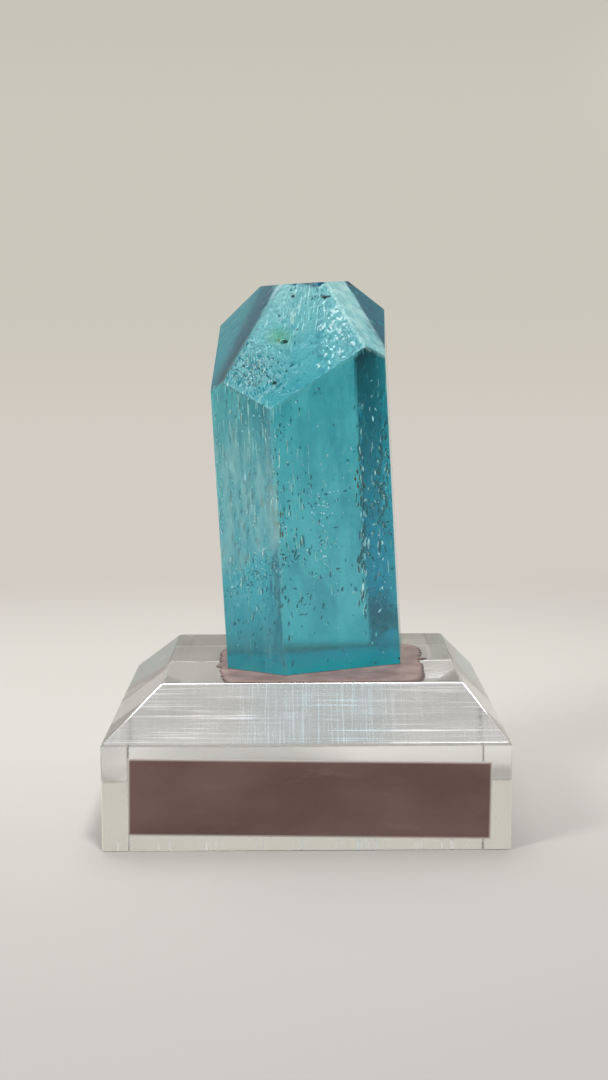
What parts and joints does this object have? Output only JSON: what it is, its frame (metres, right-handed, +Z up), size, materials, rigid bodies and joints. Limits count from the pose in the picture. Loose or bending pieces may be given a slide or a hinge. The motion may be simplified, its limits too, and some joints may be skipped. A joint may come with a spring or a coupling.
{
  "type": "aquamarine crystal on display base",
  "caption": "Hexagonal aquamarine prism with sloping end faces, fixed upright on a small clear square base with sawn bevels and a blank label.",
  "frame": {"origin": "centre of the base's underside", "axes": "+Z up along the crystal, -Y towards the labelled front, +X to the right seen from the front"},
  "size_m": [0.0318, 0.032, 0.0441],
  "materials": {
    "clear_acrylic": "clear cast acrylic, polished faces with fine scratches and sawn bevels",
    "label_tape": "pale satin label tape, left blank",
    "clear_adhesive": "thin clear adhesive with a ragged edge",
    "aquamarine": "clear blue-green beryl, glassy prism faces with fine striations and etched end faces"
  },
  "bodies": {
    "root": {"acrylic_base": "clear_acrylic", "label": "label_tape", "glue_pad": "clear_adhesive", "aquamarine_crystal": "aquamarine"}
  },
  "joints": []
}
